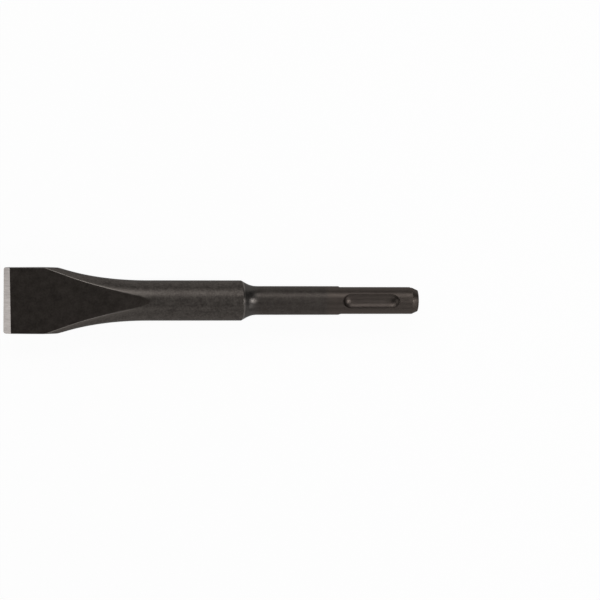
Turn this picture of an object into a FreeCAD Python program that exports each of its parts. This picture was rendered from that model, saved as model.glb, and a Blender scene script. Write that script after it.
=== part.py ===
import FreeCAD, Part
import os
import Sketcher
from FreeCAD import Vector

# Flat chisel for a rotary hammer: one steel bar with a forged and ground blade in front
# and a grooved quick-fit shank behind. Millimetres. X runs along the bar, from the cutting
# edge (-X) to the tail, and the origin is the middle of the tail's end face. The two broad
# flats of the blade face +Z and -Z, and the blade is wide along Y.

# Driving sizes. Those of the blade are measured back from the cutting edge,
# and those of the shank forward from the tail.
SIZES = {
    "total_length": (145.0, "cutting edge to tail"),
    "body_radius": (7.0, "round bar between blade and shoulder"),
    "shank_radius": (5.0, "neck and grooved shank"),
    "shank_length": (58.8, "tail to the foot of the shoulder cone"),
    "shoulder_length": (3.5, "shoulder cone, from shank to body"),
    "shoulder_rounding": (0.8, "rounding where the cone meets the body"),
    "neck_fillet": (8.0, "hollow fillet where the cone meets the neck"),
    "tail_chamfer": (2.2, "length of the tail's lead-in cone"),
    "tail_end_radius": (4.1, "flat end face that the hammer strikes"),
    "tail_rounding": (0.4, "rounding of both edges of the lead-in cone"),
    "blade_length": (50.0, "cutting edge to where flats and flare run out"),
    "blade_half_width": (11.4, "axis to the trimmed side of the blade"),
    "edge_corner": (0.8, "rounded corner at each end of the cutting edge"),
    "taper_slope": (0.28, "how fast each side narrows behind the trimmed part"),
    "taper_end": (22.4, "edge to the end of the straight taper"),
    "taper_root": (34.5, "edge to where the straight taper would meet the bar"),
    "flat_slope": (0.12, "rise of each flat over one millimetre of length"),
    "flat_straight": (33.0, "edge to where the flat starts to ease out"),
    "bevel_length": (2.3, "length of the ground bevel"),
    "bevel_rise": (1.75, "half thickness of the blade where the bevel starts"),
    "edge_land": (0.06, "half thickness left at the cutting edge"),
    "drive_width": (4.0, "width of the two open drive grooves"),
    "drive_floor": (3.35, "axis to the floor of a drive groove"),
    "drive_length": (28.0, "tail to the front end of a drive groove"),
    "drive_runout": (4.5, "curved end of a drive groove"),
    "lock_ball": (3.5, "ball radius of the two closed locking grooves"),
    "lock_floor": (3.3, "axis to the floor of a locking groove"),
    "lock_back": (10.0, "tail to the rear ball centre of a locking groove"),
    "lock_front": (24.0, "tail to the front ball centre of a locking groove"),
    "overrun": (2.0, "how far a cutting outline passes the steel"),
}
TAPER_STEPS = 6     # stretches of the curved flare between two forged sections
STRAIGHT_STEPS = 3  # stretches of the straight taper
FULL_TURN = 360.0   # degrees
CLOSE = 0.01        # two lengths that differ by less are the same one


class Size:
    """A number and the formula that gives it in the document, worked out together."""

    def __init__(self, number, formula):
        self.number = number
        self.formula = formula

    @staticmethod
    def of(other):
        return other if isinstance(other, Size) else Size(float(other), str(other))

    def __add__(self, other):
        other = Size.of(other)
        return Size(self.number + other.number, "(%s + %s)" % (self.formula, other.formula))

    def __sub__(self, other):
        other = Size.of(other)
        return Size(self.number - other.number, "(%s - %s)" % (self.formula, other.formula))

    def __mul__(self, other):
        other = Size.of(other)
        return Size(self.number * other.number, "%s * %s" % (self.formula, other.formula))

    def __neg__(self):
        return Size(-self.number, "(-1 * %s)" % self.formula)


doc = FreeCAD.newDocument("flat_chisel")
sheet = doc.addObject("Spreadsheet::Sheet", "Sizes")
for row, (name, (number, meaning)) in enumerate(SIZES.items(), start=1):
    sheet.set("A%d" % row, name)
    sheet.set("B%d" % row, str(number))
    sheet.set("C%d" % row, meaning)
    sheet.setAlias("B%d" % row, name)
doc.recompute()


def size(name):
    """A driving size, tied to its cell in the sheet."""
    return Size(SIZES[name][0], "Sizes.%s" % name)


def plane(role):
    """The body's own origin plane or axis of that role."""
    return next(item for item in body.Origin.OriginFeatures if item.Role == role)


def tie(thing, path, length):
    """Bind one property or constraint to the sheet."""
    thing.setExpression(path, length.formula)


def new_sketch(name, role):
    sketch = body.newObject("Sketcher::SketchObject", name)
    sketch.AttachmentSupport = (plane(role), [""])
    sketch.MapMode = "FlatFace"
    return sketch


def leaving_arc(start, heading, end):
    """The arc from start to end that leaves start along heading, and its end numbers."""
    chord = end - start
    side = Vector(-heading.y, heading.x, 0)
    turn = chord.dot(chord) / (2 * chord.dot(side))
    centre = start + side * turn
    arms = [start - centre, end - centre]
    left_handed = turn < 0
    if left_handed:
        arms.reverse()
    angles = [Vector(1, 0, 0).getAngle(arm) * (1 if arm.y >= 0 else -1) for arm in arms]
    arc = Part.ArcOfCircle(Part.Circle(centre, Vector(0, 0, 1), abs(turn)), *angles)
    return arc, ((2, 1) if left_handed else (1, 2))


def outline(name, role, corners, arcs=None):
    """A closed outline with every corner tied to the sheet. Side i runs from corner i to the
    next one. It is straight, or an arc where arcs gives the side that it flows into."""
    arcs = arcs or {}
    sketch = new_sketch(name, role)
    points = [Vector(x.number, y.number, 0) for x, y in corners]
    count = len(points)
    ends = {}
    for i in range(count):
        start, end = points[i], points[(i + 1) % count]
        if i not in arcs:
            shape, ends[i] = Part.LineSegment(start, end), (1, 2)
        elif arcs[i] == i - 1:
            shape, ends[i] = leaving_arc(start, (start - points[i - 1]).normalize(), end)
        else:
            after = points[(i + 2) % count]
            shape, turned = leaving_arc(end, (end - after).normalize(), start)
            ends[i] = (turned[1], turned[0])
        sketch.addGeometry(shape)
    for i, (x, y) in enumerate(corners):
        before = (i - 1) % count
        smooth = arcs.get(i) == before or arcs.get(before) == i
        meeting = "Tangent" if smooth else "Coincident"
        sketch.addConstraint(Sketcher.Constraint(meeting, before, ends[before][1], i, ends[i][0]))
        for direction, length in (("DistanceX", x), ("DistanceY", y)):
            constraint = Sketcher.Constraint(direction, i, ends[i][0], length.number)
            tie(sketch, "Constraints[%d]" % sketch.addConstraint(constraint), length)
    return sketch


def cut_through(name, sketch):
    """Take away everything inside an outline, from one side of the bar to the other."""
    pocket = body.newObject("PartDesign::Pocket", name)
    pocket.Profile = sketch
    pocket.Type = "ThroughAll"
    pocket.Midplane = True
    return pocket


def opposite(name, *features):
    """The same cuts again, half a turn round the bar."""
    pattern = body.newObject("PartDesign::PolarPattern", name)
    pattern.Originals = list(features)
    pattern.Axis = (plane("X_Axis"), [""])
    pattern.Angle = FULL_TURN
    pattern.Occurrences = 2
    body.Tip = pattern
    return pattern


def rounded(name, radius, belongs):
    """Round each edge of the bar so far that the test accepts."""
    doc.recompute()
    base = body.Tip
    edges = ["Edge%d" % (i + 1) for i, edge in enumerate(base.Shape.Edges) if belongs(edge)]
    fillet = body.newObject("PartDesign::Fillet", name)
    fillet.Base = (base, edges)
    tie(fillet, "Radius", size(radius))
    doc.recompute()
    return fillet


# The bar turned from tail to body: end face, lead-in cone, shank, shoulder cone and body
body = doc.addObject("PartDesign::Body", "chisel")
body.Label = "chisel"
axis_line = Size(0.0, "0")
edge = -size("total_length")
shoulder = size("shank_length") + size("shoulder_length")
blade_back = edge + size("blade_length")
bar_outline = outline("bar_outline", "XY_Plane", [
    (axis_line, axis_line),
    (axis_line, size("tail_end_radius")),
    (-size("tail_chamfer"), size("shank_radius")),
    (-size("shank_length"), size("shank_radius")),
    (-shoulder, size("body_radius")),
    (blade_back, size("body_radius")),
    (blade_back, axis_line),
])
bar = body.newObject("PartDesign::Revolution", "bar")
bar.Profile = bar_outline
bar.ReferenceAxis = (bar_outline, ["H_Axis"])
bar.Angle = FULL_TURN


def ring(distance, radius):
    """A test for the full circle of that radius round the bar, a distance before the tail."""
    def found(side):
        circle = side.Curve
        return (isinstance(circle, Part.Circle) and abs(circle.Radius - radius.number) < CLOSE
                and abs(circle.Center.x + distance.number) < CLOSE)
    return found


rounded("shoulder_round", "shoulder_rounding", ring(shoulder, size("body_radius")))
rounded("neck_round", "neck_fillet", ring(size("shank_length"), size("shank_radius")))
rounded("cone_round", "tail_rounding", ring(size("tail_chamfer"), size("shank_radius")))
rounded("end_round", "tail_rounding", ring(axis_line, size("tail_end_radius")))

# The forged blade: the round bar spreads to a wide oval along a parabola, then along a
# straight taper. Its sections keep the bar's height and widen towards the cutting edge.
taper_rise = size("taper_slope") * (size("taper_root") - size("taper_end"))


def forged_section(name, distance, half_width):
    """One oval section of the forging, at its distance behind the cutting edge."""
    sketch = new_sketch(name, "YZ_Plane")
    tie(sketch, "AttachmentOffset.Base.z", edge + distance)
    height = size("body_radius")
    wide, high = Vector(half_width.number, 0, 0), Vector(0, height.number, 0)
    sketch.addGeometry(Part.Ellipse(wide, high, Vector()))
    sketch.exposeInternalGeometry(0)
    sketch.addConstraint(Sketcher.Constraint("Coincident", 0, 3, -1, 1))
    sketch.addConstraint(Sketcher.Constraint("Horizontal", 1))
    for line, half in ((1, half_width), (2, height)):
        constraint = Sketcher.Constraint("Distance", line, half.number * 2)
        tie(sketch, "Constraints[%d]" % sketch.addConstraint(constraint), half * 2)
    return sketch


round_section = new_sketch("forged_section_0", "YZ_Plane")
tie(round_section, "AttachmentOffset.Base.z", blade_back)
round_section.addGeometry(Part.Circle(Vector(), Vector(0, 0, 1), size("body_radius").number))
round_section.addConstraint(Sketcher.Constraint("Coincident", 0, 3, -1, 1))
round_radius = Sketcher.Constraint("Radius", 0, size("body_radius").number)
tie(round_section, "Constraints[%d]" % round_section.addConstraint(round_radius), size("body_radius"))

sections = []
for step in range(1, TAPER_STEPS + 1):
    spread = step / TAPER_STEPS
    distance = (size("blade_length") * (1 - spread) ** 2
                + size("taper_root") * (2 * spread * (1 - spread))
                + size("taper_end") * spread ** 2)
    half_width = size("body_radius") + taper_rise * spread ** 2
    sections.append(forged_section("forged_section_%d" % step, distance, half_width))
for step in range(1, STRAIGHT_STEPS + 1):
    distance = size("taper_end") - (size("taper_end") + size("overrun")) * (step / STRAIGHT_STEPS)
    half_width = size("body_radius") + size("taper_slope") * (size("taper_root") - distance)
    sections.append(forged_section("forged_section_%d" % (TAPER_STEPS + step), distance, half_width))
blade = body.newObject("PartDesign::AdditiveLoft", "blade")
blade.Profile = round_section
blade.Sections = sections

# The sides of the blade, trimmed parallel, with a small round at each end of the edge
beyond_edge = edge - size("overrun")
past_forging = beyond_edge - size("overrun")
widest = size("body_radius") + size("taper_slope") * size("taper_root") + size("overrun") * 2
trim_end = edge + size("taper_end")
side_trim = cut_through("side_trim", outline("side_trim_outline", "XY_Plane", [
    (trim_end, widest),
    (trim_end, size("blade_half_width")),
    (edge + size("edge_corner"), size("blade_half_width")),
    (edge, size("blade_half_width") - size("edge_corner")),
    (past_forging, size("blade_half_width") - size("edge_corner")),
    (past_forging, widest),
], {2: 1}))

# Each broad face, cut to the blade's side profile: the ground bevel from the cutting edge,
# then the flat, a plane that rises slowly and eases out into the round bar
flat_rise = size("flat_slope") * (size("flat_straight") - size("bevel_length"))
above_body = size("body_radius") + size("overrun")
face_cut = cut_through("face_cut", outline("face_outline", "XZ_Plane", [
    (edge, -size("edge_land")),
    (edge, size("edge_land")),
    (edge + size("bevel_length"), size("bevel_rise")),
    (edge + size("flat_straight"), size("bevel_rise") + flat_rise),
    (blade_back, size("body_radius")),
    (blade_back, above_body),
    (past_forging, above_body),
    (past_forging, -size("edge_land")),
], {3: 2}))
opposite("both_faces", side_trim, face_cut)

# The open drive grooves at the sides of the shank, from the tail to a curved end
above_shank = size("shank_radius") + size("overrun")
drive_outline = outline("drive_outline", "XY_Plane", [
    (size("overrun"), size("drive_floor")),
    (size("drive_runout") - size("drive_length"), size("drive_floor")),
    (-size("drive_length"), size("shank_radius")),
    (-size("drive_length"), above_shank),
    (size("overrun"), above_shank),
], {1: 0})
drive_groove = body.newObject("PartDesign::Pocket", "drive_groove")
drive_groove.Profile = drive_outline
drive_groove.Type = "Length"
drive_groove.Midplane = True
tie(drive_groove, "Length", size("drive_width"))
opposite("both_drive_grooves", drive_groove)

# The closed locking grooves, in line with the flats: a ball rolled along the shank
ball_line = size("lock_floor") + size("lock_ball")
lock_outline = outline("lock_outline", "XZ_Plane", [
    (-size("lock_front") - size("lock_ball"), ball_line),
    (-size("lock_front"), size("lock_floor")),
    (-size("lock_back"), size("lock_floor")),
    (size("lock_ball") - size("lock_back"), ball_line),
], {0: 1, 2: 1})
lock_groove = body.newObject("PartDesign::Groove", "lock_groove")
lock_groove.Profile = lock_outline
lock_groove.ReferenceAxis = (lock_outline, ["Edge4"])
lock_groove.Angle = FULL_TURN
opposite("both_locking_grooves", lock_groove)


# Nothing is written unless every object is sound, every cut has taken steel away
# and the finished piece is one solid
doc.recompute()
for item in doc.Objects:
    if "Invalid" in item.State or "Error" in item.State:
        raise RuntimeError("%s is not sound: %s" % (item.Name, item.State))
for cut in (side_trim, face_cut, drive_groove, lock_groove):
    if cut.Shape.Volume >= cut.BaseFeature.Shape.Volume:
        raise RuntimeError("%s takes nothing away" % cut.Name)
if body.Shape.isNull() or not body.Shape.isValid() or len(body.Shape.Solids) != 1:
    raise RuntimeError("the chisel is not one sound solid")
os.makedirs("parts", exist_ok=True)
body.Shape.exportStep("parts/%s.step" % body.Label)
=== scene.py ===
import math
from itertools import accumulate
import bpy
from mathutils import Matrix, Vector


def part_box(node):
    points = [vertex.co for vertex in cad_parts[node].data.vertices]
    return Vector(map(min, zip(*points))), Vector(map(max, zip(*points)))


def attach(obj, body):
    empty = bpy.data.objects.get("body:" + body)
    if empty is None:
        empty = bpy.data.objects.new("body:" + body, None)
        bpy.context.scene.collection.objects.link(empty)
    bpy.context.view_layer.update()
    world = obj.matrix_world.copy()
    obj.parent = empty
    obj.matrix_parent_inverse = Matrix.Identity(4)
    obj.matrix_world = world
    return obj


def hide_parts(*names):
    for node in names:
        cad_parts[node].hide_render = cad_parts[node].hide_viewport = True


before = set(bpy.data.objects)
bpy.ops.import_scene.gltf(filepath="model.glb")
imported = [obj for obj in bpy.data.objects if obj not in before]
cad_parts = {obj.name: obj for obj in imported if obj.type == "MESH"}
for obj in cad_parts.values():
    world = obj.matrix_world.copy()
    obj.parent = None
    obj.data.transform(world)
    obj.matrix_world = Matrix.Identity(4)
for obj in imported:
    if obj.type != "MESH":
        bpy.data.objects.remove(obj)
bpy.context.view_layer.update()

# The chisel is one bar of hardened steel. It is turned to a round profile first: blade stock
# and body of one thickness, a shoulder cone with a rounded rim and a hollow fillet, then the
# neck and shank down to the lead-in cone at the tail.
lowest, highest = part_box("chisel")
EDGE = lowest.x                    # the cutting edge, with the tail's face at 0
BODY_RADIUS = highest.z
BLADE_HALF_WIDTH = highest.y
SHANK_RADIUS = 0.005
SHOULDER_FOOT = -0.0588            # where the cone would meet the neck
SHOULDER_CONE = 0.0035             # its length along the bar
SHOULDER_RIM = SHOULDER_FOOT - SHOULDER_CONE
SHOULDER_ROUND = 0.0008
NECK_FILLET = 0.008
LEAD_IN = -0.0022
TAIL_RADIUS = 0.0041
TAIL_ROUND = 0.0004
EDGE_CORNER = 0.0008               # rounded corner at each end of the cutting edge
BEVEL_LENGTH = 0.0023
FLAT_STRAIGHT = 0.033              # cutting edge to where the flat starts to ease out
BLADE_LENGTH = 0.050               # cutting edge to where flats and flare run out
DRIVE_LENGTH = 0.028
DRIVE_RUNOUT = 0.0045
LOCK_BALL = 0.0035
LOCK_FLOOR = 0.0033
LOCK_BACK = -0.010                 # the two ball centres that end a locking groove
LOCK_FRONT = -0.024


def steps(start, end, count):
    """Evenly spaced places from start up to, but not at, the end."""
    return [start + (end - start) * i / count for i in range(count)]


def rounded(before, corner, after, radius, count):
    """The points of the arc that rounds one corner of the turned profile."""
    back, ahead = (before - corner).normalized(), (after - corner).normalized()
    half = back.angle(ahead) / 2
    centre = corner + (back + ahead).normalized() * (radius / math.sin(half))
    arm = corner + back * (radius / math.tan(half)) - centre
    sweep = (math.pi - 2 * half) * (1 if back.cross(ahead) < 0 else -1)
    return [centre + Matrix.Rotation(sweep * i / count, 2) @ arm for i in range(count + 1)]


corners = [
    Vector((EDGE, BODY_RADIUS)),
    Vector((SHOULDER_RIM, BODY_RADIUS)),
    Vector((SHOULDER_FOOT, SHANK_RADIUS)),
    Vector((LEAD_IN, SHANK_RADIUS)),
    Vector((0.0, TAIL_RADIUS)),
    Vector((0.0, 0.0)),
]
rounds = [(SHOULDER_ROUND, 6), (NECK_FILLET, 10), (TAIL_ROUND, 3), (TAIL_ROUND, 4)]
rim_bend, neck_bend, lead_in_bend, tail_bend = [
    rounded(*corners[i:i + 3], radius, count) for i, (radius, count) in enumerate(rounds)]

blade_places = [EDGE + EDGE_CORNER * (1 - math.cos(angle)) for angle in steps(0, math.pi / 2, 5)]
blade_places += steps(EDGE + EDGE_CORNER, EDGE + BEVEL_LENGTH, 4)
blade_places += steps(EDGE + BEVEL_LENGTH, EDGE + FLAT_STRAIGHT, 60)
blade_places += steps(EDGE + FLAT_STRAIGHT, EDGE + BLADE_LENGTH, 28)
blade_places += steps(EDGE + BLADE_LENGTH, rim_bend[0].x, 24)

# Drive and locking grooves overlap along the shank, so the places for both are sorted, and the
# last fifth of a drive groove's run-out makes do with the locking groove's. The first place is
# left out, because the fillet ends there.
lock_reach = math.sqrt(LOCK_BALL ** 2 - (LOCK_FLOOR + LOCK_BALL - SHANK_RADIUS) ** 2)
neck_places = steps(neck_bend[-1].x, -DRIVE_LENGTH, 20)
neck_places += steps(-DRIVE_LENGTH, DRIVE_RUNOUT * 0.8 - DRIVE_LENGTH, 8)
neck_places += [LOCK_FRONT - lock_reach * math.sin(angle) for angle in steps(math.pi / 2, 0, 10)]
neck_places += steps(LOCK_FRONT, LOCK_BACK, 8)
neck_places += [LOCK_BACK + lock_reach * math.sin(angle) for angle in steps(0, math.pi / 2, 10)]
neck_places += steps(LOCK_BACK + lock_reach, lead_in_bend[0].x, 4)

profile = [Vector((x, BODY_RADIUS)) for x in blade_places] + rim_bend + neck_bend
profile += [Vector((x, SHANK_RADIUS)) for x in sorted(neck_places)[1:]] + lead_in_bend + tail_bend


class Wire:
    """One output of a node. Arithmetic on wires adds Math nodes to their tree, so that a rule
    of the forging or a pattern of the steel reads as one expression."""

    def __init__(self, tree, socket=None):
        self.tree = tree
        self.socket = socket

    def node(self, kind, sockets=(), out=0, **settings):
        """A new node of that kind: its settings, then the values or wires of its sockets."""
        made = self.tree.nodes.new(kind)
        for name, value in settings.items():
            setattr(made, name, value)
        for name, value in dict(sockets).items():
            if isinstance(value, Wire):
                self.tree.links.new(value.socket, made.inputs[name])
            else:
                made.inputs[name].default_value = value
        return Wire(self.tree, made.outputs[out] if made.outputs else None)

    def math(self, operation, *others):
        return self.node("ShaderNodeMath", enumerate((self,) + others), operation=operation)

    def between(self, low, high):
        """How far this value has come from low to high, held between 0 and 1."""
        return self.node("ShaderNodeMapRange", {"Value": self, "From Min": low, "From Max": high})

    def __add__(self, other):
        return self.math("ADD", other)

    def __sub__(self, other):
        return self.math("SUBTRACT", other)

    def __rsub__(self, other):
        return self.node("ShaderNodeMath", {0: other, 1: self}, operation="SUBTRACT")

    def __mul__(self, other):
        return self.math("MULTIPLY", other)

    def __truediv__(self, other):
        return self.math("DIVIDE", other)

    def __pow__(self, other):
        return self.math("POWER", other)

    __radd__ = __add__
    __rmul__ = __mul__


# The forging and grinding rule: each cross-section of the bar starts as its profile's circle,
# spreads to an oval towards the cutting edge, and is then limited by the trimmed sides, the
# two flats with their bevels, the open drive grooves and the closed locking grooves.
TAPER_SLOPE = 0.28
TAPER_END = 0.0224                 # cutting edge to the end of the straight taper
TAPER_ROOT = 0.0345                # cutting edge to where the straight taper would meet the bar
FLAT_SLOPE = 0.12
BEVEL_RISE = 0.00175
EDGE_LAND = 0.00006                # half the thickness that grinding leaves at the cutting edge
BORDER_ROUND = 0.00018             # softness of the border between flat and forged flank
DRIVE_WIDTH = 0.004
DRIVE_FLOOR = 0.00335
GRIND_SHORT = 0.00019              # how much shorter than drawn the bevels are ground
GRIND_SKEW = 0.0233                # and how far askew, in metres per metre across the blade
GRIND_EASE = 1.5 * BEVEL_LENGTH    # length behind the bevels over which that shift fades out
FORGED_WAVE = 0.0043               # unevenness that the hammer leaves, as a share of the section
WAVE_SCALE = 140.0                 # waves per metre
WAVE_FADE = 0.008                  # shoulder's rim to where the unevenness is full
WEAR_FADES = (0.030, 0.047)        # cutting edge to where the wear of the flats' borders fades out
FLANK_HIGHLIGHT_BAND = 0.0018               # height of the painted highlight band on the flanks below each flat
FLANK_HIGHLIGHT_FADES = (0.050, 0.058)      # cutting edge to where that band fades out
FLANK_HIGHLIGHT_OFFSETS = (0.001, 0.003)    # middle line of the bar to where that band comes in
CRISP = math.radians(24.0)         # an edge that turns more than this is left crisp
WELD = 0.000002                    # points closer than this become one
RING_CELLS = {                     # cells of a quarter ring, from the side up to the flat
    "side": 4, "side round": 3, "groove wall": 2, "flank": 12, "flat round": 4, "flat": 6}
quarter = sum(RING_CELLS.values())
cell_ends = dict(zip(RING_CELLS, accumulate(RING_CELLS.values())))

# Each flat eases out of its slope along an arc that ends on the round bar.
straight_rise = BEVEL_RISE + FLAT_SLOPE * (FLAT_STRAIGHT - BEVEL_LENGTH)
lean = math.atan(FLAT_SLOPE)
chord = Vector((BLADE_LENGTH - FLAT_STRAIGHT, BODY_RADIUS - straight_rise))
ease_radius = chord.length / (2 * math.sin(lean - math.atan2(chord.y, chord.x)))
ease_x = FLAT_STRAIGHT + ease_radius * math.sin(lean)
ease_z = straight_rise - ease_radius * math.cos(lean)

# Each drive groove ends in an arc that rises from its floor to the shank's surface.
runout_depth = SHANK_RADIUS - DRIVE_FLOOR
runout_radius = (DRIVE_RUNOUT ** 2 + runout_depth ** 2) / (2 * runout_depth)

sizes = {
    "Blade half width": BLADE_HALF_WIDTH,
    "Taper slope": TAPER_SLOPE,
    "Flat slope": FLAT_SLOPE,
    "Bevel length": BEVEL_LENGTH,
    "Bevel rise": BEVEL_RISE,
    "Border round": BORDER_ROUND,
    "Drive groove floor": DRIVE_FLOOR,
    "Drive groove width": DRIVE_WIDTH,
    "Locking groove floor": LOCK_FLOOR,
    "Locking ball": LOCK_BALL,
}
rule = bpy.data.node_groups.new("forged bar", "GeometryNodeTree")
rule.interface.new_socket("Profile", in_out="INPUT", socket_type="NodeSocketGeometry")
for name in sizes:
    rule.interface.new_socket(name, in_out="INPUT", socket_type="NodeSocketFloat")
rule.interface.new_socket("Steel", in_out="INPUT", socket_type="NodeSocketMaterial")
rule.interface.new_socket("Bar", in_out="OUTPUT", socket_type="NodeSocketGeometry")
forging = Wire(rule)
given = {name: forging.node("NodeGroupInput", out=name) for name in ("Profile", *sizes, "Steel")}


def remembered(geometry, name, value):
    """The geometry with a number kept at each of its points."""
    sockets = {"Geometry": geometry, "Name": name, "Value": value}
    return forging.node("GeometryNodeStoreNamedAttribute", sockets, data_type="FLOAT", domain="POINT")


def recalled(name):
    """The number kept at each point under that name."""
    return forging.node("GeometryNodeInputNamedAttribute", {"Name": name}, data_type="FLOAT")


def part_of(vector, axis):
    """One coordinate of a vector."""
    return vector.node("ShaderNodeSeparateXYZ", {0: vector}, out=axis)


position = forging.node("GeometryNodeInputPosition")
spine = forging.node("GeometryNodeMeshToCurve", {"Mesh": given["Profile"]})
spine = remembered(spine, "along", part_of(position, "X"))
spine = remembered(spine, "thick", part_of(position, "Y"))
ring = forging.node("GeometryNodeCurvePrimitiveCircle", {"Resolution": 4 * quarter}, mode="RADIUS")
ring = remembered(ring, "cell", forging.node("GeometryNodeInputIndex"))
tube = forging.node("GeometryNodeCurveToMesh", {
    "Curve": spine, "Profile Curve": ring, "Fill Caps": True})

# The flare, seen from above: a parabola leads from the round bar, where spread is 0, into a
# straight taper, where spread is 1. The sides are trimmed, with a rounded corner at each end
# of the cutting edge.
along, thick, cell = recalled("along"), recalled("thick"), recalled("cell")
behind = along - EDGE
root = TAPER_ROOT - BLADE_LENGTH
curve = BLADE_LENGTH - 2 * TAPER_ROOT + TAPER_END
spread = (-root - (root ** 2 - curve * (BLADE_LENGTH - behind)).math("SQRT")) / curve
spread = spread.between(0.0, 1.0)
parabola = given["Taper slope"] * (TAPER_ROOT - TAPER_END) * spread * spread
wide = thick + parabola + given["Taper slope"] * (TAPER_END - behind).math("MAXIMUM", 0.0)
corner_reach = (EDGE_CORNER - behind).math("MAXIMUM", 0.0)
corner_cut = EDGE_CORNER - (EDGE_CORNER ** 2 - corner_reach * corner_reach).math("SQRT")
side = given["Blade half width"] - corner_cut

# The height of the flat, seen from the side: first the bevel, then the slope and its arc.
bevel = EDGE_LAND + (given["Bevel rise"] - EDGE_LAND) / given["Bevel length"] * behind
straight = given["Bevel rise"] + given["Flat slope"] * (behind - given["Bevel length"])
eased = ease_z + (ease_radius ** 2 - (behind.math("MINIMUM", ease_x) - ease_x) ** 2.0).math("SQRT")
easing = behind.math("GREATER_THAN", FLAT_STRAIGHT)
flat = bevel.math("MINIMUM", straight + easing * (eased - straight))
depth = (thick - flat).math("MAXIMUM", 0.0)
soft = given["Border round"].math("MINIMUM", flat / 2).math("MINIMUM", depth / 4)

# The drive groove's floor and half width, and the circle in which the ball that cuts the
# locking groove meets each section.
run = (DRIVE_RUNOUT - DRIVE_LENGTH - along).math("MAXIMUM", 0.0)
drive_floor = (given["Drive groove floor"] + runout_radius + (run - runout_radius).math("MAXIMUM", 0.0)
               - (runout_radius ** 2 - run * run).math("MAXIMUM", 0.0).math("SQRT"))
groove_half = (thick * thick - drive_floor * drive_floor).math("MAXIMUM", 0.0).math("SQRT")
groove_half = groove_half.math("MINIMUM", given["Drive groove width"] / 2)
ball_line = given["Locking groove floor"] + given["Locking ball"]
past_ball = (LOCK_FRONT - along).math("MAXIMUM", along - LOCK_BACK).math("MAXIMUM", 0.0)
ball_ring = (given["Locking ball"] ** 2.0 - past_ball * past_ball).math("MAXIMUM", 0.0).math("SQRT")
lock_edge = (thick * thick - ball_ring * ball_ring + ball_line * ball_line) / (2.0 * ball_line)


def up_to(height):
    """The angle at which the oval reaches that height."""
    return (height / thick).math("MINIMUM", 1.0).math("ARCSINE")


def out_to(width):
    """The angle at which the oval comes in to that width."""
    return (width / wide).math("MINIMUM", 1.0).math("ARCCOSINE")


# Each quarter of a ring has points at the borders of side, groove, flank and flat. The rounds
# of side and flat can overlap, so their marks are put in order first.
wall = up_to(groove_half)
side_starts, side_ends = out_to(side + soft), out_to(side - soft)
flat_starts, flat_ends = up_to(flat - soft), up_to(flat + soft)
later_start = side_starts.math("MAXIMUM", flat_starts)
sooner_end = side_ends.math("MINIMUM", flat_ends)
low_turns = [side_starts.math("MINIMUM", flat_starts), later_start.math("MINIMUM", sooner_end)]
low_turns = [low_turn.math("MAXIMUM", wall) for low_turn in low_turns]
high_turns = [later_start.math("MAXIMUM", sooner_end), side_ends.math("MAXIMUM", flat_ends)]
high_turns = [high_turn.math("MINIMUM", up_to(lock_edge)) for high_turn in high_turns]
marks = [0.0, low_turns[0], low_turns[1], low_turns[1], high_turns[0], high_turns[1], math.pi / 2]
in_quarter = cell.math("PINGPONG", quarter)
turn = marks[0]
for name, low, high in zip(RING_CELLS, marks, marks[1:]):
    first = cell_ends[name] - RING_CELLS[name]
    turn = in_quarter.between(first, cell_ends[name]) * (high - low) + turn
on_wall = in_quarter.between(cell_ends["side round"], cell_ends["groove wall"])

# Each point's place on its section. The bevels are ground a little short and askew: that
# shifts the end of the blade back, and the shift fades out behind them.
oval_y = wide * turn.math("COSINE")
oval_z = thick * turn.math("SINE")
outer_y = side.math("SMOOTH_MIN", oval_y, soft)
inner_y = outer_y.math("MINIMUM", drive_floor)
ball_z = (ball_line + (thick - SHANK_RADIUS)
          - (ball_ring * ball_ring - oval_y * oval_y).math("MAXIMUM", 0.0).math("SQRT"))
round_turn = cell * (math.pi / 2 / quarter)
shaped_y = (inner_y + on_wall * (outer_y - inner_y)) * round_turn.math("COSINE").math("SIGN")
shaped_z = (flat.math("SMOOTH_MIN", oval_z, soft).math("MINIMUM", ball_z)
            * round_turn.math("SINE").math("SIGN"))
ground_back = ((behind / BEVEL_LENGTH).math("MINIMUM", 1.0)
               - behind.between(BEVEL_LENGTH, BEVEL_LENGTH + GRIND_EASE))
shaped_x = along - ground_back * (shaped_y * GRIND_SKEW + GRIND_SHORT)

# Three numbers stay at the points for the finish of the steel: the worn border of each flat,
# the flat itself, and the band of painted highlight on the flank beside it.
ridge = cell_ends["flank"] + RING_CELLS["flat round"] / 2
border = (in_quarter.between(cell_ends["flank"], ridge)
          - in_quarter.between(ridge, cell_ends["flat round"]))
tube = remembered(tube, "edge_wear", border * (1.0 - behind.between(*WEAR_FADES)))
flat_share = (in_quarter.between(ridge, cell_ends["flat round"])
              * behind.math("LESS_THAN", BLADE_LENGTH))
tube = remembered(tube, "flat_face", flat_share)
# The band on each flank below its flat is a painted highlight: a brighter colour along the streak of
# the long light.
flank_highlight_band = (oval_z - flat).between(-FLANK_HIGHLIGHT_BAND, 0.0) * (1.0 - behind.between(*FLANK_HIGHLIGHT_FADES))
flank_highlight_band = flank_highlight_band * (1.0 - flat_share) * oval_y.between(*FLANK_HIGHLIGHT_OFFSETS)
tube = remembered(tube, "flank_highlight", flank_highlight_band)
shaped_place = forging.node("ShaderNodeCombineXYZ", {"X": shaped_x, "Y": shaped_y, "Z": shaped_z})
shaped = forging.node("GeometryNodeSetPosition", {"Geometry": tube, "Position": shaped_place})
shaped = forging.node("GeometryNodeMergeByDistance", {"Geometry": shaped, "Distance": WELD})

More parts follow.
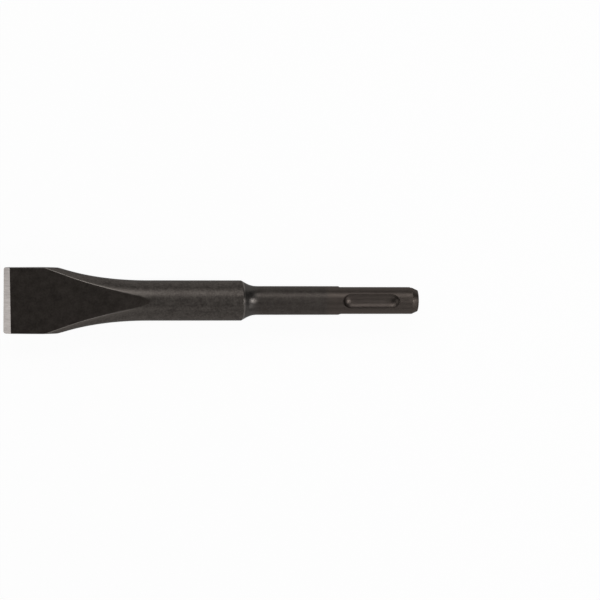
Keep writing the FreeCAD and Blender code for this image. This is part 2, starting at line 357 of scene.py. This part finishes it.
# The hammer leaves the forged stretch slightly uneven. The edges that turn most stay crisp.
waves = forging.node("ShaderNodeTexNoise", {"Vector": position, "Scale": WAVE_SCALE, "Detail": 2.0})
forged = behind.between(BEVEL_LENGTH, 2 * BEVEL_LENGTH) * (SHOULDER_RIM - along).between(0.0, WAVE_FADE)
outward = forging.node("ShaderNodeCombineXYZ", {
    "Y": part_of(position, "Y"), "Z": part_of(position, "Z")})
push = forging.node("ShaderNodeVectorMath", {
    "Vector": outward, "Scale": (waves - 0.5) * forged * FORGED_WAVE}, operation="SCALE")
shaped = forging.node("GeometryNodeSetPosition", {"Geometry": shaped, "Offset": push})
for name in ("along", "thick", "cell"):
    shaped = forging.node("GeometryNodeRemoveAttribute", {"Geometry": shaped, "Name": name})
shaped = forging.node("GeometryNodeSetShadeSmooth", {"Geometry": shaped})
bend = forging.node("GeometryNodeInputMeshEdgeAngle")
shaped = forging.node("GeometryNodeSetShadeSmooth", {
    "Geometry": shaped, "Selection": bend.math("GREATER_THAN", CRISP), "Shade Smooth": False,
}, domain="EDGE")
shaped = forging.node("GeometryNodeRealizeInstances", {"Geometry": shaped})
shaped = forging.node("GeometryNodeSetMaterial", {"Geometry": shaped, "Material": given["Steel"]})
forging.node("NodeGroupOutput", {"Bar": shaped})

# The steel is dark and finely mottled from hardening and blasting. The flats keep more scale,
# a band of painted highlight brightens the flanks beside them, the shank is browner and smoother
# from its last turning, and the two bevels are ground bright across the edge. The shoulder cone
# has a paler painted sheen, and its rim a painted highlight line.
FORGED = (0.052, 0.0455, 0.041, 1.0)
FORGED_WORN = (0.091, 0.0805, 0.073, 1.0)
# colour of the painted highlight band on the flanks below the flats
FLANK_HIGHLIGHT_TONE = (0.125, 0.111, 0.101, 1.0)
FLAT_SCALE = (0.046, 0.038, 0.033, 1.0)
NECK = (0.048, 0.041, 0.037, 1.0)
SHANK = (0.071, 0.0585, 0.0515, 1.0)
# a paler, greyer painted sheen for the shoulder cone and fillet, where their highlight shows
CONE_SHEEN_TONE = (0.062, 0.058, 0.055, 1.0)
# bare metal of the worn flat borders, also used for the painted highlight line at the shoulder's rim
WORN_EDGE_AND_RIM_HIGHLIGHT = (0.22, 0.20, 0.185, 1.0)
GROUND_DULL = (0.35, 0.322, 0.307, 1.0)
GROUND = (0.45, 0.417, 0.40, 1.0)
GRAZING_TINT = (0.55, 0.55, 0.55, 1.0)  # tames the shine at grazing angles
GRAIN_SCALE = 1500.0               # grains per metre, and likewise below
CLOUD_SCALE = 420.0
SCRATCH_SCALE = (400.0, 2200.0, 400.0)
PATCH_RANGE = (0.38, 0.62)
SCRATCH_RANGE = (0.3, 0.7)
SHANK_FINISH = -0.0325             # where the shank's last turning begins
SHANK_FADE = 0.0008                # half the length over which its tone comes in
TURNED_FADE = 0.0002               # the same for the shoulder's turned cone, at its rim
TURNED_OUT = (0.0005, 0.003)       # before and after the cone's foot, where that tone goes out
RIM_HIGHLIGHT_RISE = 0.0004                  # length over which the painted highlight line at the rim rises or falls
GROUND_FADE = 0.00002              # half the softness of the bevels' inner border
GROUND_UPRIGHT = (0.5, 0.6)        # how far a face looks up or down before it counts as ground
ROUGHNESS = 0.46
PATCH_ROUGHNESS = 0.16             # how far the mottling moves it
POLISH = 0.14                      # how much smoother grinding and turning leave the steel
SHANK_POLISH = 0.04
GRAIN_DEPTH = 0.00004

steel = bpy.data.materials.new("forged steel")
steel.use_nodes = True
steel.node_tree.nodes.clear()
finish = Wire(steel.node_tree)
on_bar = finish.node("ShaderNodeTexCoord", out="Object")
bar_x, bar_y = part_of(on_bar, "X"), part_of(on_bar, "Y")
upright = part_of(finish.node("ShaderNodeTexCoord", out="Normal"), "Z").math("ABSOLUTE")
grain = finish.node("ShaderNodeTexNoise", {
    "Vector": on_bar, "Scale": GRAIN_SCALE, "Detail": 2.0, "Roughness": 0.6})
cloud = finish.node("ShaderNodeTexNoise", {
    "Vector": on_bar, "Scale": CLOUD_SCALE, "Detail": 3.0, "Roughness": 0.55})
stretched = finish.node("ShaderNodeMapping", {"Vector": on_bar, "Scale": SCRATCH_SCALE})
scratch = finish.node("ShaderNodeTexNoise", {"Vector": stretched, "Scale": 1.0, "Detail": 2.0})
wear, pressed, flank_highlight_share = [
    finish.node("ShaderNodeAttribute", out="Fac", attribute_name=name)
    for name in ("edge_wear", "flat_face", "flank_highlight")]

bevel_end = EDGE + BEVEL_LENGTH - GRIND_SHORT - GRIND_SKEW * bar_y
ground = (bevel_end - bar_x).between(-GROUND_FADE, GROUND_FADE) * upright.between(*GROUND_UPRIGHT)
shank = bar_x.between(SHANK_FINISH - SHANK_FADE, SHANK_FINISH + SHANK_FADE)
# The turned cone and fillet: smoother steel there, and a paler painted sheen where their highlight
# shows.
turned_and_sheen = (bar_x.between(SHOULDER_RIM - TURNED_FADE, SHOULDER_RIM + TURNED_FADE)
          - bar_x.between(SHOULDER_FOOT - TURNED_OUT[0], SHOULDER_FOOT + TURNED_OUT[1]))
# A painted highlight line along the shoulder's rim.
rim_highlight = (bar_x.between(SHOULDER_RIM, SHOULDER_RIM + RIM_HIGHLIGHT_RISE)
       - bar_x.between(SHOULDER_RIM + RIM_HIGHLIGHT_RISE, SHOULDER_RIM + 2 * RIM_HIGHLIGHT_RISE))
neck = bar_x.between(SHOULDER_RIM, SHOULDER_FOOT)
patchy = (cloud * 0.4 + grain * 0.6).between(*PATCH_RANGE)


def blended(factor, one, other):
    """A colour between two others."""
    return finish.node("ShaderNodeMix", {0: factor, 6: one, 7: other}, out=2, data_type="RGBA")


# Each tone lies over those before it: where it is, how well it covers them, and its colour.
colour = blended(patchy, FORGED, FORGED_WORN)
for where, cover, tone in [
    # painted highlight band on the flanks below the flats
    (flank_highlight_share * flank_highlight_share, 0.8, FLANK_HIGHLIGHT_TONE),
    (pressed, 0.6, FLAT_SCALE),
    (neck, 0.45, NECK),
    (shank, 0.8, SHANK),
    # painted sheen on the shoulder cone and fillet
    (turned_and_sheen, 0.7, CONE_SHEEN_TONE),
    # worn borders of the flats, and the painted highlight line at the shoulder's rim
    (wear + rim_highlight * 0.5, 1.0, WORN_EDGE_AND_RIM_HIGHLIGHT),
    (ground, 1.0, blended(scratch.between(*SCRATCH_RANGE), GROUND_DULL, GROUND)),
]:
    colour = blended(where * cover, colour, tone)
roughness = (cloud - 0.5) * PATCH_ROUGHNESS + ROUGHNESS - ground * POLISH
roughness = roughness - shank * SHANK_POLISH - turned_and_sheen * POLISH
relief = grain * (1.0 - ground) + scratch * ground * 0.5
bump = finish.node("ShaderNodeBump", {"Strength": 0.45, "Distance": GRAIN_DEPTH, "Height": relief})
shader = finish.node("ShaderNodeBsdfPrincipled", {
    "Base Color": colour, "Roughness": roughness, "Normal": bump, "Metallic": 1.0,
    "Specular Tint": GRAZING_TINT})
finish.node("ShaderNodeOutputMaterial", {"Surface": shader})

profile_line = bpy.data.meshes.new("turned profile")
profile_line.from_pydata([(x, y, 0.0) for x, y in profile],
                         [(i, i + 1) for i in range(len(profile) - 1)], [])
bar = bpy.data.objects.new("forged_chisel", profile_line)
bpy.context.scene.collection.objects.link(bar)
forge = bar.modifiers.new("forge", "NODES")
forge.node_group = rule
identifiers = {item.name: item.identifier for item in rule.interface.items_tree}
for name, value in sizes.items():
    forge[identifiers[name]] = value
forge[identifiers["Steel"]] = steel
bpy.context.view_layer.update()
finished = bpy.data.meshes.new_from_object(bar.evaluated_get(bpy.context.evaluated_depsgraph_get()))
bar.modifiers.remove(forge)
bar.data = finished
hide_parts("chisel")
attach(bar, "root")

# The floor is a plain white table top under the bar, which lies on its round body. Camera and
# steel see it nearly as pure white, and the little that is left of its matt paper takes the
# bar's shadow.
FLOOR_SIZE = 3.0
WHITE_SHARE = 0.95
paper = bpy.data.materials.new("white floor")
paper.use_nodes = True
paper.node_tree.nodes.clear()
whitening = Wire(paper.node_tree)
camera_ray = whitening.node("ShaderNodeLightPath", out="Is Camera Ray")
glossy_ray = whitening.node("ShaderNodeLightPath", out="Is Glossy Ray")
chalk = whitening.node("ShaderNodeBsdfDiffuse", {"Color": (0.8, 0.8, 0.8, 1.0)})
glow = whitening.node("ShaderNodeEmission", {"Color": (1.0, 1.0, 1.0, 1.0), "Strength": 1.0})
mixed = whitening.node("ShaderNodeMixShader", {
    0: camera_ray * WHITE_SHARE + glossy_ray * WHITE_SHARE, 1: chalk, 2: glow})
whitening.node("ShaderNodeOutputMaterial", {"Surface": mixed})
half = FLOOR_SIZE / 2
sheet = bpy.data.meshes.new("floor")
sheet.from_pydata([(-half, -half, lowest.z), (half, -half, lowest.z),
                   (half, half, lowest.z), (-half, half, lowest.z)], [], [(0, 1, 2, 3)])
sheet.materials.append(paper)
floor = bpy.data.objects.new("floor", sheet)
bpy.context.scene.collection.objects.link(floor)

# The room is white to the camera and dim to everything else, so that the steel shows only the
# lamps and the floor.
ROOM_LIGHT = 0.07
world = bpy.data.worlds.new("studio")
bpy.context.scene.world = world
world.use_nodes = True
world.node_tree.nodes.clear()
room = Wire(world.node_tree)
seen = room.node("ShaderNodeLightPath", out="Is Camera Ray")
sky = room.node("ShaderNodeBackground", {
    "Color": (1.0, 1.0, 1.0, 1.0), "Strength": seen * (1.0 - ROOM_LIGHT) + ROOM_LIGHT})
room.node("ShaderNodeOutputWorld", {"Surface": sky})

# The camera looks down at the chisel from 1.5 m, leaning 10 degrees towards its cutting edge
# and a few degrees towards one side. The middle of its frame lies past the middle of the
# chisel, towards the tail.
CAMERA_DISTANCE = 1.5
EDGE_LEAN = math.radians(10.0)
SIDE_LEAN = math.radians(3.0)
FRAME_ACROSS = 0.03059
FRAME_UP = 0.00017
FOCAL_LENGTH = 259.39              # in millimetres, on a sensor 36 mm wide
middle = Vector((EDGE / 2, 0.0, 0.0))
bar_way = Vector((1.0, 0.0, 0.0))
towards = Vector((-math.tan(EDGE_LEAN), math.tan(SIDE_LEAN), 1.0)).normalized()
across = (bar_way - towards * towards.x).normalized()
upwards = towards.cross(across)
lens = bpy.data.cameras.new("camera")
lens.lens = FOCAL_LENGTH
lens.sensor_width = 36.0
lens.clip_start = 0.01
camera = bpy.data.objects.new("camera", lens)
camera_turn = Matrix((across, upwards, towards)).transposed().to_4x4()
camera_place = middle + across * FRAME_ACROSS + upwards * FRAME_UP + towards * CAMERA_DISTANCE
camera.matrix_world = Matrix.Translation(camera_place) @ camera_turn
bpy.context.scene.collection.objects.link(camera)
bpy.context.scene.camera = camera

# Six soft lamps stand around the bar. The long one beside it draws the streak along it, and
# the others light its far side, its tail and the ground bevels at its edge.
LAMP_DISTANCE = 0.9


def soft_light(name, direction, width, height, power):
    """A rectangular studio light that faces the chisel, its width along the bar."""
    lamp = bpy.data.lights.new(name, "AREA")
    lamp.shape = "RECTANGLE"
    lamp.size = width
    lamp.size_y = height
    lamp.energy = power
    outwards = Vector(direction).normalized()
    long_way = (bar_way - outwards * outwards.x).normalized()
    lamp_turn = Matrix((long_way, outwards.cross(long_way), outwards)).transposed().to_4x4()
    light = bpy.data.objects.new(name, lamp)
    light.matrix_world = Matrix.Translation(middle + outwards * LAMP_DISTANCE) @ lamp_turn
    bpy.context.scene.collection.objects.link(light)


soft_light("long light", (-0.13, 0.715, 0.685), width=1.1, height=0.40, power=4.4)
soft_light("far light", (0.0, -0.682, 0.731), width=1.0, height=0.25, power=1.08)
soft_light("low far light", (0.0, -0.966, 0.259), width=1.2, height=0.3, power=1.08)
soft_light("far tail light", (0.72, -0.54, 0.43), width=0.4, height=0.4, power=0.86)
soft_light("tail light", (0.656, 0.0, 0.755), width=0.40, height=0.28, power=3.4)
soft_light("edge light", (-0.92, -0.03, 0.39), width=0.5, height=0.6, power=1.17)

bpy.context.scene.view_settings.view_transform = "Standard"
